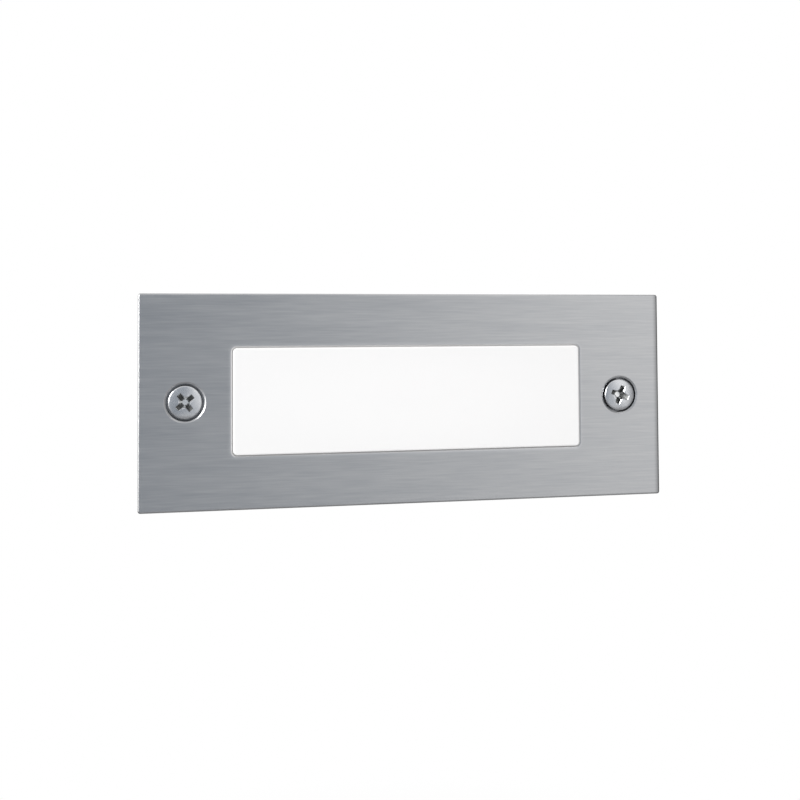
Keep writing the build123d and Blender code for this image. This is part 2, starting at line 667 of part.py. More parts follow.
def terminal_block():
    """Two-pole block with bores for the tubes, wells for the clamp screws and a fixing hole."""
    half_height = TERMINAL_PITCH / 2 + TUBE_DIAMETER / 2 + TERMINAL_SIDE_WALL
    outline = Pos(terminal_x, 0) * Rectangle(TERMINAL_LENGTH, 2 * half_height)
    block = slab(outline, terminal_top_y, terminal_top_y + TERMINAL_HEIGHT)
    block = fillet(edges_at(block, terminal_top_y), TERMINAL_ROUND)
    for z in terminal_poles():
        block -= along_x(TUBE_DIAMETER / 2, TERMINAL_LENGTH, z)
    block -= posts(CLAMP_WELL_DIAMETER / 2, terminal_top_y, tube_y, clamp_places())
    hole = GEAR_SCREW_DIAMETER / 2 + HOLE_CLEARANCE
    return block - post(hole, terminal_top_y, terminal_top_y + TERMINAL_HEIGHT, terminal_x)


def terminal_tubes():
    """Brass tubes, cross-drilled for the clamp screws."""
    tubes = []
    clamp_hole = CLAMP_SCREW_DIAMETER / 2 + THREAD_CLEARANCE
    for z in terminal_poles():
        tube = along_x(TUBE_DIAMETER / 2, TERMINAL_LENGTH - 2 * TUBE_INSET, z)
        tube -= along_x(TUBE_BORE / 2, TERMINAL_LENGTH, z)
        holes = [place for place in clamp_places() if place[1] == z]
        tubes.append(tube - posts(clamp_hole, terminal_top_y, tube_y, holes))
    return tubes


def terminal_clamp_screws():
    """Slotted grub screws that clamp the wires."""
    top = terminal_top_y + CLAMP_SCREW_DROP
    screw = post(CLAMP_SCREW_DIAMETER / 2, top, tube_y - TUBE_BORE / 2)
    screw -= slab(Rectangle(CLAMP_SCREW_DIAMETER, SCREW_SLOT_WIDTH), top, top + SCREW_SLOT_DEPTH)
    return [Pos(x, 0, z) * screw for x, z in clamp_places()]


def terminal_fixing_screw():
    """Screw that holds the terminal block on its pedestal."""
    return Pos(terminal_x, terminal_top_y, 0) * gear_screw(TERMINAL_HEIGHT + FIXING_SCREW_GRIP)


def cable_grommet():
    """Rubber grommet that is snapped into the back wall, with an open bore for the cable."""
    inner = GROMMET_BORE / 2
    neck = GROMMET_NECK_DIAMETER / 2
    outer = GROMMET_FLANGE_DIAMETER / 2
    front = floor_y - GROMMET_FLANGE_THICKNESS
    back = BOX_DEPTH + GROMMET_FLANGE_THICKNESS
    grommet = turned([
        (inner, front),
        (outer, front),
        (outer, floor_y),
        (neck, floor_y),
        (neck, BOX_DEPTH),
        (outer, BOX_DEPTH),
        (outer, back),
        (inner, back),
    ])
    rims = [e for y in (front, back) for e in edges_at(grommet, y) if e.radius > neck]
    return Pos(grommet_x, 0, 0) * chamfer(rims, GROMMET_EDGE_CHAMFER)


def wire(points, diameter, bends):
    """Round wire along straight runs joined by tangent arcs."""
    path = FilletPolyline(*points, radius=bends)
    return sweep(Plane(origin=path @ 0, z_dir=path % 0) * Circle(diameter / 2), path=path)


def mains_wire(side):
    """Wire from the terminal block to the driver."""
    z = side * TERMINAL_PITCH / 2
    start_x = driver_x + DRIVER_LENGTH / 2
    end_x = terminal_x - TERMINAL_LENGTH / 2
    points = [
        (start_x, mains_exit_y, z),
        (start_x + MAINS_EXIT_RUN, mains_exit_y, z),
        (end_x - MAINS_EXIT_RUN, tube_y, z),
        (end_x + MAINS_WIRE_GRIP, tube_y, z),
    ]
    return wire(points, MAINS_WIRE_DIAMETER, MAINS_WIRE_BEND)


def led_wire(side):
    """Wire from the driver, round the end of the carrier, to the board's tail."""
    start_x = driver_x - DRIVER_LENGTH / 2
    exit_z = side * LED_EXIT_SPACING / 2
    pad_z = side * LED_PAD_SPACING / 2
    hole_z = side * led_wire_z
    board_y = board_front_y - LED_WIRE_DIAMETER / 2
    points = [
        (start_x, mains_exit_y, exit_z),
        (led_wire_x, mains_exit_y, exit_z),
        (led_wire_x, mains_exit_y, hole_z),
        (led_wire_x, board_y, hole_z),
        (led_wire_x, board_y, pad_z),
    ]
    return wire(points, LED_WIRE_DIAMETER, LED_WIRE_BEND)


NODES = {
    "front_plate": front_plate(),
    "plate_gasket": plate_gasket(),
    "left_face_screw": face_screw(-screw_x, LEFT_CROSS_TURN),
    "right_face_screw": face_screw(screw_x, RIGHT_CROSS_TURN),
    "left_screw_washer": screw_washer(-screw_x),
    "right_screw_washer": screw_washer(screw_x),
    "left_screw_insert": screw_insert(-screw_x),
    "right_screw_insert": screw_insert(screw_x),
    "wall_box": wall_box(),
    "diffuser": diffuser(),
    "diffuser_seal": diffuser_seal(),
    "reflector": reflector(),
    "led_board": led_board(),
    "led_chips": led_chips(),
    "board_screws": board_screws(),
    "thermal_pad": thermal_pad(),
    "gear_plate": gear_plate(),
    "gear_screws": gear_screws(),
    "driver": driver(),
    "driver_screws": driver_screws(),
    "terminal_block": terminal_block(),
    "terminal_tubes": terminal_tubes(),
    "terminal_clamp_screws": terminal_clamp_screws(),
    "terminal_fixing_screw": terminal_fixing_screw(),
    "cable_grommet": cable_grommet(),
    "live_wire": mains_wire(1),
    "neutral_wire": mains_wire(-1),
    "led_plus_wire": led_wire(1),
    "led_minus_wire": led_wire(-1),
}

os.makedirs("parts", exist_ok=True)
for node, shape in NODES.items():
    solids = Compound(children=shape) if isinstance(shape, list) else shape
    export_step(solids, f"parts/{node}.step")
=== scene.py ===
import json
import math

import bmesh
import bpy
from mathutils import Matrix, Vector


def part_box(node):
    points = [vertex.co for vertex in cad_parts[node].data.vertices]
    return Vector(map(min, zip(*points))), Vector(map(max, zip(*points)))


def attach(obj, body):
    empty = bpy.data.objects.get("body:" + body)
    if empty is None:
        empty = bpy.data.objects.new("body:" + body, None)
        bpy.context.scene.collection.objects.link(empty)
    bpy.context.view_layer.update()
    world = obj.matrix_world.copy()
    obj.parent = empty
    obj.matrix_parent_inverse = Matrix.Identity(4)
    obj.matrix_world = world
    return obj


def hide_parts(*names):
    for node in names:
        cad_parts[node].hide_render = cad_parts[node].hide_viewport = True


# Recessed wall light: finishes for the moulded, pressed and turned pieces, threaded face screws,
# the studio and the camera. Metres, with X along the plate, +Y into the wall and +Z up.

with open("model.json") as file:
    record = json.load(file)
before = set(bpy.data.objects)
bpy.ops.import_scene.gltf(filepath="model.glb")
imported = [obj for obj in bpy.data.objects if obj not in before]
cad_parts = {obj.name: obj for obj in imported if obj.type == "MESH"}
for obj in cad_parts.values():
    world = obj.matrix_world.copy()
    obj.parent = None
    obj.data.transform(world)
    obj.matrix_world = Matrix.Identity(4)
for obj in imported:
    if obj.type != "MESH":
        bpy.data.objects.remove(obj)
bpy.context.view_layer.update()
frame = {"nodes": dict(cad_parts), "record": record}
solids = frame["nodes"]

# Sizes that are repeated from the model
SCREW_X = 0.053
SCREW_LENGTH = 0.016
HEAD_HEIGHT = 0.0031
CROSS_LEAD_IN = 0.0003
CROSS_CORE_RADIUS = 0.00125
CROSS_CORE_SLOPE = 0.31
CUP_RADIUS = 0.00435
WINDOW_HALF = (0.0423, 0.0125)
WINDOW_CORNER = 0.0011

# Thread of the face screws: the ends of its crest and root are shares of the pitch,
# and it starts inside the stub that stays under the head
THREAD_PITCH = 0.0007
THREAD_CREST_RADIUS = 0.00194
THREAD_ROOT_RADIUS = 0.00157
THREAD_CREST_END = 0.125
THREAD_ROOT_START = 0.44
THREAD_ROOT_END = 0.69
THREAD_STEPS_A_TURN = 28
THREAD_LEAD_TURNS = 1.5
THREAD_SPARE_TURNS = 2
THREAD_TIP_CHAMFER = 0.0005
THREAD_START = 0.0001
HEAD_STUB = 0.0002

# Tolerances of the mesh work
HEAD_WELD = 1e-7
THREAD_WELD = 2e-6
CUT_TOLERANCE = 1e-8

# Part of the noise that the grain and the strokes spread from none to one,
# and how much coarser the blotches of colour are than the grain
NOISE_RANGE = (0.3, 0.7)
BLOTCH_COARSENESS = 14.0

# Face plate: brushed but for its cut ends, with a lip rolled over round the window whose lighter colour is
# a painted highlight of the window's glow, a painted dark reflection along the front arris of its right
# end, and screw cups darkened with painted shade
STEEL_DARK = (0.495, 0.501, 0.511)
STEEL_LIGHT = (0.625, 0.625, 0.625)
FINE_SHARE = 0.6
UNBRUSHED = 0.5
END_ARRIS = 0.0003
END_COLOUR = (0.36, 0.36, 0.365)
LIP_WIDTH = 0.0013
LIP_DROP = 0.00003
# Lighter colour of the lip: a painted highlight of the lit window's glow
LIP_PAINTED_GLOW = (0.75, 0.75, 0.755)
# Near-black band on the right end's front arris: a painted dark reflection of the dim surroundings on that
# side
RIGHT_END_SHADE_WIDTH = 0.0017
RIGHT_END_SHADE_DEPTH = 0.0005
RIGHT_END_PAINTED_SHADE = (0.02, 0.02, 0.021)
CUP_RIM = 0.00005
# Darker colour in the screw cups: painted shade in the hollows round the screw heads
CUP_PAINTED_SHADE = (0.42, 0.425, 0.435)

# Face screws: zinc plate, with painted shade in the arms of the cross recess and a painted highlight in its
# core
ZINC_DARK = (0.60, 0.615, 0.64)
ZINC_LIGHT = (0.72, 0.725, 0.735)
CROSS_REACH = 0.0025
CROSS_RIM = 0.0001
CROSS_BLEND = 0.00006
CORE_SKIN = 0.00001
# Dark colour of the cross's arms: painted shade in the deep recess
ARMS_PAINTED_SHADE = (0.28, 0.285, 0.28)
ARMS_ROUGHNESS = 0.55
# Bright colour of the cross's core: a painted highlight where its floor catches the frontal light
CORE_PAINTED_HIGHLIGHT = (0.95, 0.95, 0.94)

# Diffuser: its front fades from the middle, in shares of the window's half sizes,
# and its low side glows less than its other sides
OPAL_COLOUR = (0.625, 0.617, 0.608)
GLOW_STRENGTH = 0.312
GLOW_FADE = (0.35, 1.25)
MIDDLE_GLOW = (1.0, 0.99, 0.985)
RIM_GLOW = (0.93, 0.925, 0.92)
UPPER_GLOW = (0.75, 0.745, 0.74)
LOWER_GLOW = (0.45, 0.447, 0.444)
LOWER_GLOW_HEIGHT = 0.001
FRONT_DEPTH = 0.0005

# Camera of the photograph
CAMERA_PLACE = (-0.0483, -0.2332, 0.0147)
CAMERA_YAW = math.radians(-11.25)
CAMERA_PITCH = math.radians(1.65)
CAMERA_ROLL = math.radians(0.33)
CAMERA_LENS = 43.916
CAMERA_SHIFT = -0.1139
CAMERA_CLIP_START = 0.01
SENSOR_WIDTH = 36.0

# Floor and surroundings
FLOOR_Z = -0.30
FLOOR_RADIUS = 0.5
FLOOR_SEGMENTS = 96
FLOOR_FADE = (0.25 * FLOOR_RADIUS, 0.96 * FLOOR_RADIUS)
FLOOR_COLOUR = (0.86, 0.86, 0.86)
WHITE = (1.0, 1.0, 1.0)
AMBIENT = 0.62

# Panel behind the camera that the plate mirrors: its shade fans out with height
PANEL_PLACE = (-0.05, -0.60, 0.0)
PANEL_REACH = 0.65
PANEL_RAMP = (-0.13, 0.46)
PANEL_FAN = 1.27
PANEL_DIM = (0.345, 0.377, 0.42)
PANEL_BRIGHT = (1.12, 1.12, 1.125)

# Lamps, and boards that only gloss shows
SOFTBOXES = {
    "top_softbox": {"place": (-0.25, -0.55, 0.75), "size": (0.7, 0.5), "watts": 4.0, "mirrored": False},
    "left_softbox": {"place": (-0.80, -0.30, 0.27), "size": (0.4, 0.5), "watts": 6.0, "mirrored": True},
}
BOARD_REACH = 0.9
GLOSS_BOARDS = {
    "right_board": {"place": (0.55, 0.48, 0.0), "turn": (math.pi / 2, "Y"), "colour": (0.36, 0.36, 0.365)},
    "top_board": {"place": (0.0, 0.2, 0.95), "turn": (0.0, "X"), "colour": (0.9, 0.9, 0.91)},
    "low_board": {"place": (0.0, 0.5, -0.29), "turn": (0.0, "X"), "colour": (0.32, 0.32, 0.325)},
}


# Node helpers

def feed(node, inputs):
    """Gives a node's inputs plain values, colours without alpha, or other nodes' outputs."""
    for name, value in inputs.items():
        socket = node.inputs[name]
        if isinstance(value, bpy.types.NodeSocket):
            node.id_data.links.new(value, socket)
        elif socket.type == "RGBA":
            socket.default_value = (*value, 1.0)
        else:
            socket.default_value = value


def add_node(tree, kind, inputs, **settings):
    """A node in a tree, with its settings first and then its inputs."""
    node = tree.nodes.new(kind)
    for key, value in settings.items():
        setattr(node, key, value)
    feed(node, inputs)
    return node


def maths(tree, operation, *terms):
    """The result of a Math node."""
    node = add_node(tree, "ShaderNodeMath", dict(enumerate(terms)), operation=operation)
    return node.outputs["Value"]


def vector_maths(tree, operation, *terms):
    """The result of a Vector Math node that gives a vector."""
    node = add_node(tree, "ShaderNodeVectorMath", dict(enumerate(terms)), operation=operation)
    return node.outputs["Vector"]


def length_of(tree, vector):
    """The length of a vector."""
    node = add_node(tree, "ShaderNodeVectorMath", {0: vector}, operation="LENGTH")
    return node.outputs["Value"]


def ramp(tree, value, start, end, low=0.0, high=1.0, **settings):
    """A value that goes from low to high while another goes from start to end."""
    inputs = {"Value": value, "From Min": start, "From Max": end, "To Min": low, "To Max": high}
    return add_node(tree, "ShaderNodeMapRange", inputs, **settings).outputs["Result"]


def mixed_value(tree, mask, first, second):
    """A value that turns from one to another with a mask."""
    inputs = {"Factor": mask, "A": first, "B": second}
    return add_node(tree, "ShaderNodeMix", inputs).outputs["Result"]


def mixed_colour(tree, mask, first, second):
    """A colour that turns from one to another with a mask."""
    inputs = {"Factor": mask, "A": first, "B": second}
    return add_node(tree, "ShaderNodeMix", inputs, data_type="RGBA").outputs["Result"]


def relief(tree, mask, strength, depth, under=None, **settings):
    """A normal with the relief of a mask, over another normal where one is given."""
    inputs = {"Height": mask, "Strength": strength, "Distance": depth}
    if under is not None:
        inputs["Normal"] = under
    return add_node(tree, "ShaderNodeBump", inputs, **settings).outputs["Normal"]


def object_place(tree):
    """A point's place in the model's frame."""
    return add_node(tree, "ShaderNodeTexCoord", {}).outputs["Object"]


def place_parts(tree):
    """A point's X, Y and Z in the model's frame."""
    parts = add_node(tree, "ShaderNodeSeparateXYZ", {"Vector": object_place(tree)})
    return parts.outputs["X"], parts.outputs["Y"], parts.outputs["Z"]


def new_material(name):
    """A node material, with its tree and its Principled shader."""
    material = bpy.data.materials.new(name)
    material.use_nodes = True
    tree = material.node_tree
    return material, tree, tree.nodes["Principled BSDF"]


def new_glow(name):
    """A material that only glows, with its tree and its Emission shader."""
    material, tree, shader = new_material(name)
    tree.nodes.remove(shader)
    glow = add_node(tree, "ShaderNodeEmission", {})
    feed(tree.nodes["Material Output"], {"Surface": glow.outputs["Emission"]})
    return material, tree, glow


# Shared surface effects

def new_mask_group(name, inputs):
    """A shader node group with float inputs that gives one mask."""
    group = bpy.data.node_groups.new(name, "ShaderNodeTree")
    for socket, default in inputs.items():
        made = group.interface.new_socket(socket, in_out="INPUT", socket_type="NodeSocketFloat")
        made.default_value = default
    group.interface.new_socket("Mask", in_out="OUTPUT", socket_type="NodeSocketFloat")
    return group, group.nodes.new("NodeGroupInput").outputs, group.nodes.new("NodeGroupOutput")


def make_grain_group():
    """Even speckle at one scale, as on moulded plastic, rubber and plated metal."""
    group, given, out = new_mask_group("grain", {"Scale": 3000.0})
    noise = add_node(group, "ShaderNodeTexNoise", {
        "Vector": object_place(group),
        "Scale": given["Scale"],
        "Detail": 3.0,
        "Roughness": 0.6,
    })
    feed(out, {"Mask": ramp(group, noise.outputs["Fac"], *NOISE_RANGE)})
    return group


def make_strokes_group():
    """Long parallel strokes along X, as brushing or rolling leaves them on sheet metal."""
    group, given, out = new_mask_group("strokes", {"Along": 20.0, "Across": 5000.0})
    scale = add_node(group, "ShaderNodeCombineXYZ", {
        "X": given["Along"],
        "Y": given["Across"],
        "Z": given["Across"],
    })
    noise = add_node(group, "ShaderNodeTexNoise", {
        "Vector": vector_maths(group, "MULTIPLY", object_place(group), scale.outputs["Vector"]),
        "Scale": 1.0,
        "Detail": 2.0,
        "Roughness": 0.55,
    })
    feed(out, {"Mask": ramp(group, noise.outputs["Fac"], *NOISE_RANGE)})
    return group


grain_group = make_grain_group()
strokes_group = make_strokes_group()


def grain(tree, scale):
    """The mask of the grain effect, placed in a material."""
    return add_node(tree, "ShaderNodeGroup", {"Scale": scale}, node_tree=grain_group).outputs["Mask"]


def strokes(tree, along, across):
    """The mask of the strokes effect, placed in a material."""
    inputs = {"Along": along, "Across": across}
    return add_node(tree, "ShaderNodeGroup", inputs, node_tree=strokes_group).outputs["Mask"]


# Places on the face plate and on the face screws

def screw_radius(tree, x, z):
    """A point's distance from the nearer face screw's axis."""
    sideways = maths(tree, "SUBTRACT", maths(tree, "ABSOLUTE", x), SCREW_X)
    flat = add_node(tree, "ShaderNodeCombineXYZ", {"X": sideways, "Z": z})
    return length_of(tree, flat.outputs["Vector"])


def shaded_screw_cups(tree):
    """Mask that is one on the floors and straight walls of the plate's screw cups, where shade is painted.
    """
    x, _, z = place_parts(tree)
    return ramp(tree, screw_radius(tree, x, z), CUP_RADIUS, CUP_RADIUS + CUP_RIM, 1.0, 0.0)


def window_lip(tree):
    """Mask that is one at the window's edge and falls to none across its lip."""
    flat = vector_maths(tree, "MULTIPLY", object_place(tree), (1.0, 0.0, 1.0))
    quarter = vector_maths(tree, "ABSOLUTE", flat)
    corner = (WINDOW_HALF[0] - WINDOW_CORNER, 0.0, WINDOW_HALF[1] - WINDOW_CORNER)
    past_corner = vector_maths(tree, "SUBTRACT", quarter, corner)
    outside = vector_maths(tree, "MAXIMUM", past_corner, (0.0, 0.0, 0.0))
    fall = ramp(tree, length_of(tree, outside), WINDOW_CORNER, WINDOW_CORNER + LIP_WIDTH, 1.0, 0.0)
    return maths(tree, "POWER", fall, 2.0)


def right_end_shade_mask(tree):
    """Mask that rises to one at the front arris of the plate's right end, where a dark reflection is
    painted.
    """
    low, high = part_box("front_plate")
    x, y, _ = place_parts(tree)
    rise = maths(tree, "POWER", ramp(tree, x, high.x - RIGHT_END_SHADE_WIDTH, high.x), 2.0)
    front = ramp(tree, y, low.y + RIGHT_END_SHADE_DEPTH / 2, low.y + RIGHT_END_SHADE_DEPTH, 1.0, 0.0)
    return maths(tree, "MULTIPLY", rise, front)


def cut_ends(tree):
    """Mask that is one on the plate's two end faces."""
    half_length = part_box("front_plate")[1].x
    x, _, _ = place_parts(tree)
    return ramp(tree, maths(tree, "ABSOLUTE", x), half_length - END_ARRIS, half_length - END_ARRIS / 2)


def cross_recess(tree):
    """Masks that are one inside the arms and inside the core of a face screw's cross recess."""
    top_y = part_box("left_face_screw")[1].y - SCREW_LENGTH - HEAD_HEIGHT
    throat_y = top_y + CROSS_LEAD_IN
    wall = CROSS_CORE_RADIUS + CROSS_CORE_SLOPE * top_y
    x, y, z = place_parts(tree)
    radius = screw_radius(tree, x, z)
    deep = ramp(tree, y, throat_y, throat_y + CROSS_BLEND)
    within = ramp(tree, radius, CROSS_REACH, CROSS_REACH + CROSS_RIM, 1.0, 0.0)
    recess = maths(tree, "MULTIPLY", deep, within)
    cone = maths(tree, "MULTIPLY_ADD", y, CROSS_CORE_SLOPE, radius)
    past_core = ramp(tree, cone, wall + CORE_SKIN, wall + CROSS_BLEND)
    arms = maths(tree, "MULTIPLY", recess, past_core)
    return arms, maths(tree, "SUBTRACT", recess, arms)


# Finishes

def brushed_steel():
    """Face plate: satin steel, brushed along its length."""
    material, tree, shader = new_material("brushed_steel")
    fine = strokes(tree, along=110.0, across=2300.0)
    broad = strokes(tree, along=45.0, across=600.0)
    broad_part = mixed_value(tree, broad, 0.0, 1.0 - FINE_SHARE)
    ends = cut_ends(tree)
    lip = window_lip(tree)
    brushing = mixed_value(tree, ends, maths(tree, "MULTIPLY_ADD", fine, FINE_SHARE, broad_part), UNBRUSHED)
    colour = mixed_colour(tree, brushing, STEEL_DARK, STEEL_LIGHT)
    colour = mixed_colour(tree, ends, colour, END_COLOUR)
    # painted highlight: the lip round the window lightened where the window's glow falls; the roll itself
    # is a real bump below
    colour = mixed_colour(tree, lip, colour, LIP_PAINTED_GLOW)
    # painted shade: the right end's front arris darkened, as it mirrors the dark side
    colour = mixed_colour(tree, right_end_shade_mask(tree), colour, RIGHT_END_PAINTED_SHADE)
    # painted shade: the screw cups darkened
    colour = mixed_colour(tree, shaded_screw_cups(tree), colour, CUP_PAINTED_SHADE)
    rolled = relief(tree, lip, strength=1.0, depth=LIP_DROP, invert=True)
    tangent = add_node(tree, "ShaderNodeTangent", {}, direction_type="RADIAL", axis="X")
    feed(shader, {
        "Base Color": colour,
        "Roughness": mixed_value(tree, brushing, 0.30, 0.42),
        "Normal": relief(tree, brushing, strength=0.25, depth=0.00002, under=rolled),
        "Tangent": tangent.outputs["Tangent"],
        "Metallic": 1.0,
        "Anisotropic": 0.6,
    })
    return material


def bright_zinc():
    """Face screws: zinc plate, with painted shade in the arms of the cross, where it is also duller, and a
    painted highlight in its core.
    """
    material, tree, shader = new_material("bright_zinc")
    speckle = grain(tree, 2600.0)
    blotch = grain(tree, 260.0)
    arms, core = cross_recess(tree)
    colour = mixed_colour(tree, blotch, ZINC_DARK, ZINC_LIGHT)
    # painted shade: the arms of the cross recess darkened
    colour = mixed_colour(tree, arms, colour, ARMS_PAINTED_SHADE)
    # painted highlight: the core of the cross recess lightened
    colour = mixed_colour(tree, core, colour, CORE_PAINTED_HIGHLIGHT)
    plated_roughness = mixed_value(tree, speckle, 0.22, 0.34)
    feed(shader, {
        "Base Color": colour,
        "Roughness": mixed_value(tree, arms, plated_roughness, ARMS_ROUGHNESS),
        "Normal": relief(tree, speckle, strength=0.3, depth=0.000006),
        "Metallic": 1.0,
    })
    return material


def lit_opal():
    """Diffuser: opal plastic whose front glows, most in the middle, and whose low side glows little."""
    material, tree, shader = new_material("lit_opal")
    front_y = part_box("diffuser")[0].y
    low_z = -WINDOW_HALF[1]
    _, y, z = place_parts(tree)
    window_share = (1.0 / WINDOW_HALF[0], 0.0, 1.0 / WINDOW_HALF[1])
    from_middle = length_of(tree, vector_maths(tree, "MULTIPLY", object_place(tree), window_share))
    middle = ramp(tree, from_middle, *GLOW_FADE, 1.0, 0.0, interpolation_type="SMOOTHSTEP")
    front = ramp(tree, y, front_y + FRONT_DEPTH / 2, front_y + FRONT_DEPTH, 1.0, 0.0)
    above_low_side = ramp(tree, z, low_z, low_z + LOWER_GLOW_HEIGHT)
    front_glow = mixed_colour(tree, middle, RIM_GLOW, MIDDLE_GLOW)
    side_glow = mixed_colour(tree, above_low_side, LOWER_GLOW, UPPER_GLOW)
    feed(shader, {
        "Base Color": OPAL_COLOUR,
        "Roughness": mixed_value(tree, grain(tree, 4200.0), 0.42, 0.5),
        "Emission Color": mixed_colour(tree, front, side_glow, front_glow),
        "Emission Strength": GLOW_STRENGTH,
    })
    return material


def mill_aluminium():
    """Carrier: mill-finish sheet with faint rolling lines along its length."""
    material, tree, shader = new_material("mill_aluminium")
    lines = strokes(tree, along=9.0, across=2600.0)
    feed(shader, {
        "Base Color": mixed_colour(tree, lines, (0.64, 0.65, 0.66), (0.76, 0.77, 0.78)),
        "Roughness": mixed_value(tree, lines, 0.28, 0.42),
        "Normal": relief(tree, lines, strength=0.2, depth=0.00002),
        "Metallic": 1.0,
    })
    return material


def grained(name, dark, light, roughness, scale, depth=0.00001, strength=0.5, metallic=0.0):
    """A finish whose gloss and relief vary with a grain, and whose colour varies in coarser blotches."""
    material, tree, shader = new_material(name)
    speckle = grain(tree, scale)
    blotch = grain(tree, scale / BLOTCH_COARSENESS)
    feed(shader, {
        "Base Color": mixed_colour(tree, blotch, dark, light),
        "Roughness": mixed_value(tree, speckle, *roughness),
        "Normal": relief(tree, speckle, strength, depth),
        "Metallic": metallic,
    })
    return material


def bare_metal(name, dark, light, roughness, scale):
    """A plain metal with a fine grain."""
    return grained(name, dark, light, roughness, scale, strength=0.3, metallic=1.0)


def insulation(shade, dark, light):
    """Smooth plastic round a wire."""
    return grained(f"{shade}_insulation", dark, light, (0.28, 0.42), 2400.0)


FINISHES = {
    "plate_steel": brushed_steel(),
    "screw_steel": bright_zinc(),
    "washer_nylon": grained("natural_nylon", (0.72, 0.71, 0.66), (0.82, 0.81, 0.76), (0.35, 0.5), 3000.0),
    "gasket_foam": grained("gasket_foam", (0.022, 0.022, 0.024), (0.05, 0.05, 0.052), (0.75, 0.95),
                           4200.0, depth=0.00006),
    "box_plastic": grained("black_moulding", (0.026, 0.026, 0.028), (0.033, 0.033, 0.035), (0.40, 0.58),
                           3600.0, depth=0.00003),
    "insert_brass": bare_metal("turned_brass", (0.66, 0.47, 0.18), (0.76, 0.57, 0.26), (0.2, 0.36), 2400.0),
    "diffuser_opal": lit_opal(),
    "seal_silicone": grained("seal_silicone", (0.50, 0.51, 0.52), (0.60, 0.61, 0.62), (0.4, 0.55), 2500.0),
    "reflector_white": grained("white_moulding", (0.82, 0.82, 0.80), (0.88, 0.88, 0.86), (0.24, 0.38),
                               3000.0),
    "board_white": grained("board_mask", (0.78, 0.79, 0.78), (0.86, 0.87, 0.86), (0.3, 0.45), 2800.0),
    "chip_phosphor": grained("chip_phosphor", (0.80, 0.62, 0.20), (0.90, 0.76, 0.34), (0.35, 0.5), 5200.0),
    "pad_silicone": grained("thermal_pad", (0.31, 0.36, 0.44), (0.39, 0.44, 0.52), (0.7, 0.9),
                            3200.0, depth=0.00003),
    "gear_aluminium": mill_aluminium(),
    "driver_plastic": grained("grey_moulding", (0.69, 0.69, 0.67), (0.78, 0.78, 0.76), (0.42, 0.56),
                              3200.0, depth=0.00002),
    "terminal_nylon": grained("block_nylon", (0.78, 0.78, 0.73), (0.86, 0.86, 0.82), (0.34, 0.48), 3000.0),
    "terminal_brass": bare_metal("drawn_brass", (0.64, 0.46, 0.18), (0.76, 0.58, 0.28), (0.22, 0.38),
                                 2400.0),
    "inner_screw_steel": bare_metal("dull_zinc", (0.58, 0.58, 0.57), (0.72, 0.72, 0.70), (0.24, 0.4),
                                    2600.0),
    "grommet_rubber": grained("grommet_rubber", (0.022, 0.022, 0.024), (0.034, 0.034, 0.036), (0.55, 0.75),
                              2600.0, depth=0.00003),
    "wire_brown": insulation("brown", (0.17, 0.07, 0.028), (0.23, 0.10, 0.042)),
    "wire_blue": insulation("blue", (0.028, 0.10, 0.36), (0.042, 0.14, 0.48)),
    "wire_red": insulation("red", (0.43, 0.02, 0.016), (0.57, 0.03, 0.024)),
    "wire_black": insulation("black", (0.018, 0.018, 0.02), (0.026, 0.026, 0.028)),
}


def finish_solids():
    """Gives every node of the model the finish of its slot."""
    for part in frame["record"]["subparts"]:
        mesh = solids[part["node"]].data
        mesh.materials.clear()
        mesh.materials.append(FINISHES[part["material_slot"]])


def new_object(name, shape, material):
    """An object in the scene from a finished bmesh, with one material."""
    mesh = bpy.data.meshes.new(name)
    shape.to_mesh(mesh)
    shape.free()
    mesh.materials.append(material)
    made = bpy.data.objects.new(name, mesh)
    bpy.context.scene.collection.objects.link(made)
    return made


# Face screws with a real thread

def cut_across(shape, y, outwards):
    """Cuts off what lies past a plane across Y, on the side that outwards gives, and caps the cut."""
    everything = shape.verts[:] + shape.edges[:] + shape.faces[:]
    cut = bmesh.ops.bisect_plane(shape, geom=everything, dist=CUT_TOLERANCE, plane_co=(0, y, 0),
                                 plane_no=(0, outwards, 0), clear_outer=True)
    rim = [item for item in cut["geom_cut"] if isinstance(item, bmesh.types.BMEdge)]
    bmesh.ops.edgeloop_fill(shape, edges=rim)


def head_of(node, stub_y):
    """The head of a screw node with a short stub, cut from a copy of its mesh."""
    shape = bmesh.new()
    shape.from_mesh(solids[node].data)
    bmesh.ops.remove_doubles(shape, verts=shape.verts, dist=HEAD_WELD)
    cut_across(shape, stub_y, 1)
    return shape


